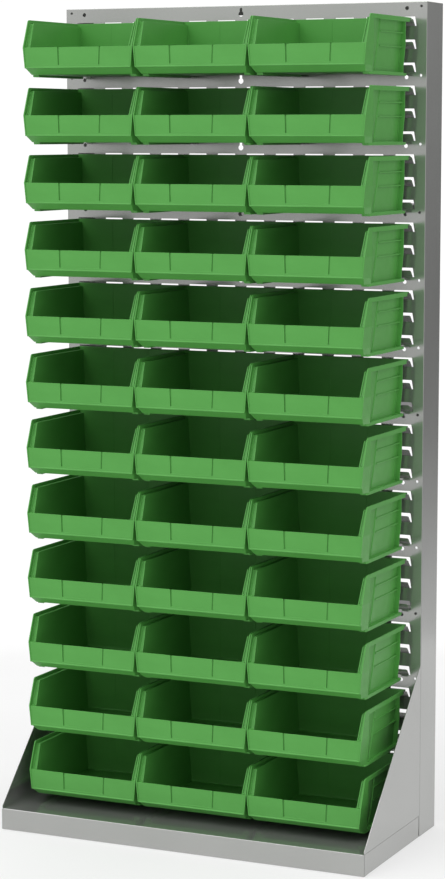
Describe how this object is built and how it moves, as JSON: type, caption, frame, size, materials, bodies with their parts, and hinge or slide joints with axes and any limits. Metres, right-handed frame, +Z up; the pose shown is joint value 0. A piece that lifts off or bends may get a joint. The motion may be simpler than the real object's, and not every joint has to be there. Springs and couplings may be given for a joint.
{
  "type": "louvred bin rack",
  "caption": "Free-standing louvred sheet-metal floor rack with rows of hopper-front parts bins that hook onto the louvres and lift off.",
  "frame": {"origin": "on the floor, in the middle of the rack's footprint", "axes": "+Z up, +X to the right and +Y to the back as seen by someone standing in front of the bins"},
  "size_m": [0.908, 0.451, 1.905],
  "materials": {
    "rack_paint": "glossy grey powder coat",
    "bin_plastic": "moulded green polypropylene, satin gloss"
  },
  "bodies": {
    "rack": {"louvre_panel": "rack_paint", "left_post": "rack_paint", "right_post": "rack_paint", "top_channel": "rack_paint", "upper_cross_channel": "rack_paint", "middle_cross_channel": "rack_paint", "lower_cross_channel": "rack_paint", "bottom_cross_channel": "rack_paint", "foot_tray": "rack_paint", "left_gusset": "rack_paint", "right_gusset": "rack_paint"},
    "hung_bin_r01_c1": {"bin_r01_c1": "bin_plastic"},
    "hung_bin_r01_c2": {"bin_r01_c2": "bin_plastic"},
    "hung_bin_r01_c3": {"bin_r01_c3": "bin_plastic"},
    "hung_bin_r02_c1": {"bin_r02_c1": "bin_plastic"},
    "hung_bin_r02_c2": {"bin_r02_c2": "bin_plastic"},
    "hung_bin_r02_c3": {"bin_r02_c3": "bin_plastic"},
    "hung_bin_r03_c1": {"bin_r03_c1": "bin_plastic"},
    "hung_bin_r03_c2": {"bin_r03_c2": "bin_plastic"},
    "hung_bin_r03_c3": {"bin_r03_c3": "bin_plastic"},
    "hung_bin_r04_c1": {"bin_r04_c1": "bin_plastic"},
    "hung_bin_r04_c2": {"bin_r04_c2": "bin_plastic"},
    "hung_bin_r04_c3": {"bin_r04_c3": "bin_plastic"},
    "hung_bin_r05_c1": {"bin_r05_c1": "bin_plastic"},
    "hung_bin_r05_c2": {"bin_r05_c2": "bin_plastic"},
    "hung_bin_r05_c3": {"bin_r05_c3": "bin_plastic"},
    "hung_bin_r06_c1": {"bin_r06_c1": "bin_plastic"},
    "hung_bin_r06_c2": {"bin_r06_c2": "bin_plastic"},
    "hung_bin_r06_c3": {"bin_r06_c3": "bin_plastic"},
    "hung_bin_r07_c1": {"bin_r07_c1": "bin_plastic"},
    "hung_bin_r07_c2": {"bin_r07_c2": "bin_plastic"},
    "hung_bin_r07_c3": {"bin_r07_c3": "bin_plastic"},
    "hung_bin_r08_c1": {"bin_r08_c1": "bin_plastic"},
    "hung_bin_r08_c2": {"bin_r08_c2": "bin_plastic"},
    "hung_bin_r08_c3": {"bin_r08_c3": "bin_plastic"},
    "hung_bin_r09_c1": {"bin_r09_c1": "bin_plastic"},
    "hung_bin_r09_c2": {"bin_r09_c2": "bin_plastic"},
    "hung_bin_r09_c3": {"bin_r09_c3": "bin_plastic"},
    "hung_bin_r10_c1": {"bin_r10_c1": "bin_plastic"},
    "hung_bin_r10_c2": {"bin_r10_c2": "bin_plastic"},
    "hung_bin_r10_c3": {"bin_r10_c3": "bin_plastic"},
    "hung_bin_r11_c1": {"bin_r11_c1": "bin_plastic"},
    "hung_bin_r11_c2": {"bin_r11_c2": "bin_plastic"},
    "hung_bin_r11_c3": {"bin_r11_c3": "bin_plastic"},
    "hung_bin_r12_c1": {"bin_r12_c1": "bin_plastic"},
    "hung_bin_r12_c2": {"bin_r12_c2": "bin_plastic"},
    "hung_bin_r12_c3": {"bin_r12_c3": "bin_plastic"}
  },
  "joints": [
    {"name": "lift_r01_c1", "type": "slide", "parent": "rack", "child": "hung_bin_r01_c1", "axis": [0, 0, 1], "range_m": [0, 0.018]},
    {"name": "lift_r01_c2", "type": "slide", "parent": "rack", "child": "hung_bin_r01_c2", "axis": [0, 0, 1], "range_m": [0, 0.018]},
    {"name": "lift_r01_c3", "type": "slide", "parent": "rack", "child": "hung_bin_r01_c3", "axis": [0, 0, 1], "range_m": [0, 0.018]},
    {"name": "lift_r02_c1", "type": "slide", "parent": "rack", "child": "hung_bin_r02_c1", "axis": [0, 0, 1], "range_m": [0, 0.018]},
    {"name": "lift_r02_c2", "type": "slide", "parent": "rack", "child": "hung_bin_r02_c2", "axis": [0, 0, 1], "range_m": [0, 0.018]},
    {"name": "lift_r02_c3", "type": "slide", "parent": "rack", "child": "hung_bin_r02_c3", "axis": [0, 0, 1], "range_m": [0, 0.018]},
    {"name": "lift_r03_c1", "type": "slide", "parent": "rack", "child": "hung_bin_r03_c1", "axis": [0, 0, 1], "range_m": [0, 0.018]},
    {"name": "lift_r03_c2", "type": "slide", "parent": "rack", "child": "hung_bin_r03_c2", "axis": [0, 0, 1], "range_m": [0, 0.018]},
    {"name": "lift_r03_c3", "type": "slide", "parent": "rack", "child": "hung_bin_r03_c3", "axis": [0, 0, 1], "range_m": [0, 0.018]},
    {"name": "lift_r04_c1", "type": "slide", "parent": "rack", "child": "hung_bin_r04_c1", "axis": [0, 0, 1], "range_m": [0, 0.018]},
    {"name": "lift_r04_c2", "type": "slide", "parent": "rack", "child": "hung_bin_r04_c2", "axis": [0, 0, 1], "range_m": [0, 0.018]},
    {"name": "lift_r04_c3", "type": "slide", "parent": "rack", "child": "hung_bin_r04_c3", "axis": [0, 0, 1], "range_m": [0, 0.018]},
    {"name": "lift_r05_c1", "type": "slide", "parent": "rack", "child": "hung_bin_r05_c1", "axis": [0, 0, 1], "range_m": [0, 0.018]},
    {"name": "lift_r05_c2", "type": "slide", "parent": "rack", "child": "hung_bin_r05_c2", "axis": [0, 0, 1], "range_m": [0, 0.018]},
    {"name": "lift_r05_c3", "type": "slide", "parent": "rack", "child": "hung_bin_r05_c3", "axis": [0, 0, 1], "range_m": [0, 0.018]},
    {"name": "lift_r06_c1", "type": "slide", "parent": "rack", "child": "hung_bin_r06_c1", "axis": [0, 0, 1], "range_m": [0, 0.018]},
    {"name": "lift_r06_c2", "type": "slide", "parent": "rack", "child": "hung_bin_r06_c2", "axis": [0, 0, 1], "range_m": [0, 0.018]},
    {"name": "lift_r06_c3", "type": "slide", "parent": "rack", "child": "hung_bin_r06_c3", "axis": [0, 0, 1], "range_m": [0, 0.018]},
    {"name": "lift_r07_c1", "type": "slide", "parent": "rack", "child": "hung_bin_r07_c1", "axis": [0, 0, 1], "range_m": [0, 0.018]},
    {"name": "lift_r07_c2", "type": "slide", "parent": "rack", "child": "hung_bin_r07_c2", "axis": [0, 0, 1], "range_m": [0, 0.018]},
    {"name": "lift_r07_c3", "type": "slide", "parent": "rack", "child": "hung_bin_r07_c3", "axis": [0, 0, 1], "range_m": [0, 0.018]},
    {"name": "lift_r08_c1", "type": "slide", "parent": "rack", "child": "hung_bin_r08_c1", "axis": [0, 0, 1], "range_m": [0, 0.018]},
    {"name": "lift_r08_c2", "type": "slide", "parent": "rack", "child": "hung_bin_r08_c2", "axis": [0, 0, 1], "range_m": [0, 0.018]},
    {"name": "lift_r08_c3", "type": "slide", "parent": "rack", "child": "hung_bin_r08_c3", "axis": [0, 0, 1], "range_m": [0, 0.018]},
    {"name": "lift_r09_c1", "type": "slide", "parent": "rack", "child": "hung_bin_r09_c1", "axis": [0, 0, 1], "range_m": [0, 0.018]},
    {"name": "lift_r09_c2", "type": "slide", "parent": "rack", "child": "hung_bin_r09_c2", "axis": [0, 0, 1], "range_m": [0, 0.018]},
    {"name": "lift_r09_c3", "type": "slide", "parent": "rack", "child": "hung_bin_r09_c3", "axis": [0, 0, 1], "range_m": [0, 0.018]},
    {"name": "lift_r10_c1", "type": "slide", "parent": "rack", "child": "hung_bin_r10_c1", "axis": [0, 0, 1], "range_m": [0, 0.018]},
    {"name": "lift_r10_c2", "type": "slide", "parent": "rack", "child": "hung_bin_r10_c2", "axis": [0, 0, 1], "range_m": [0, 0.018]},
    {"name": "lift_r10_c3", "type": "slide", "parent": "rack", "child": "hung_bin_r10_c3", "axis": [0, 0, 1], "range_m": [0, 0.018]},
    {"name": "lift_r11_c1", "type": "slide", "parent": "rack", "child": "hung_bin_r11_c1", "axis": [0, 0, 1], "range_m": [0, 0.018]},
    {"name": "lift_r11_c2", "type": "slide", "parent": "rack", "child": "hung_bin_r11_c2", "axis": [0, 0, 1], "range_m": [0, 0.018]},
    {"name": "lift_r11_c3", "type": "slide", "parent": "rack", "child": "hung_bin_r11_c3", "axis": [0, 0, 1], "range_m": [0, 0.018]},
    {"name": "lift_r12_c1", "type": "slide", "parent": "rack", "child": "hung_bin_r12_c1", "axis": [0, 0, 1], "range_m": [0, 0.018]},
    {"name": "lift_r12_c2", "type": "slide", "parent": "rack", "child": "hung_bin_r12_c2", "axis": [0, 0, 1], "range_m": [0, 0.018]},
    {"name": "lift_r12_c3", "type": "slide", "parent": "rack", "child": "hung_bin_r12_c3", "axis": [0, 0, 1], "range_m": [0, 0.018]}
  ]
}
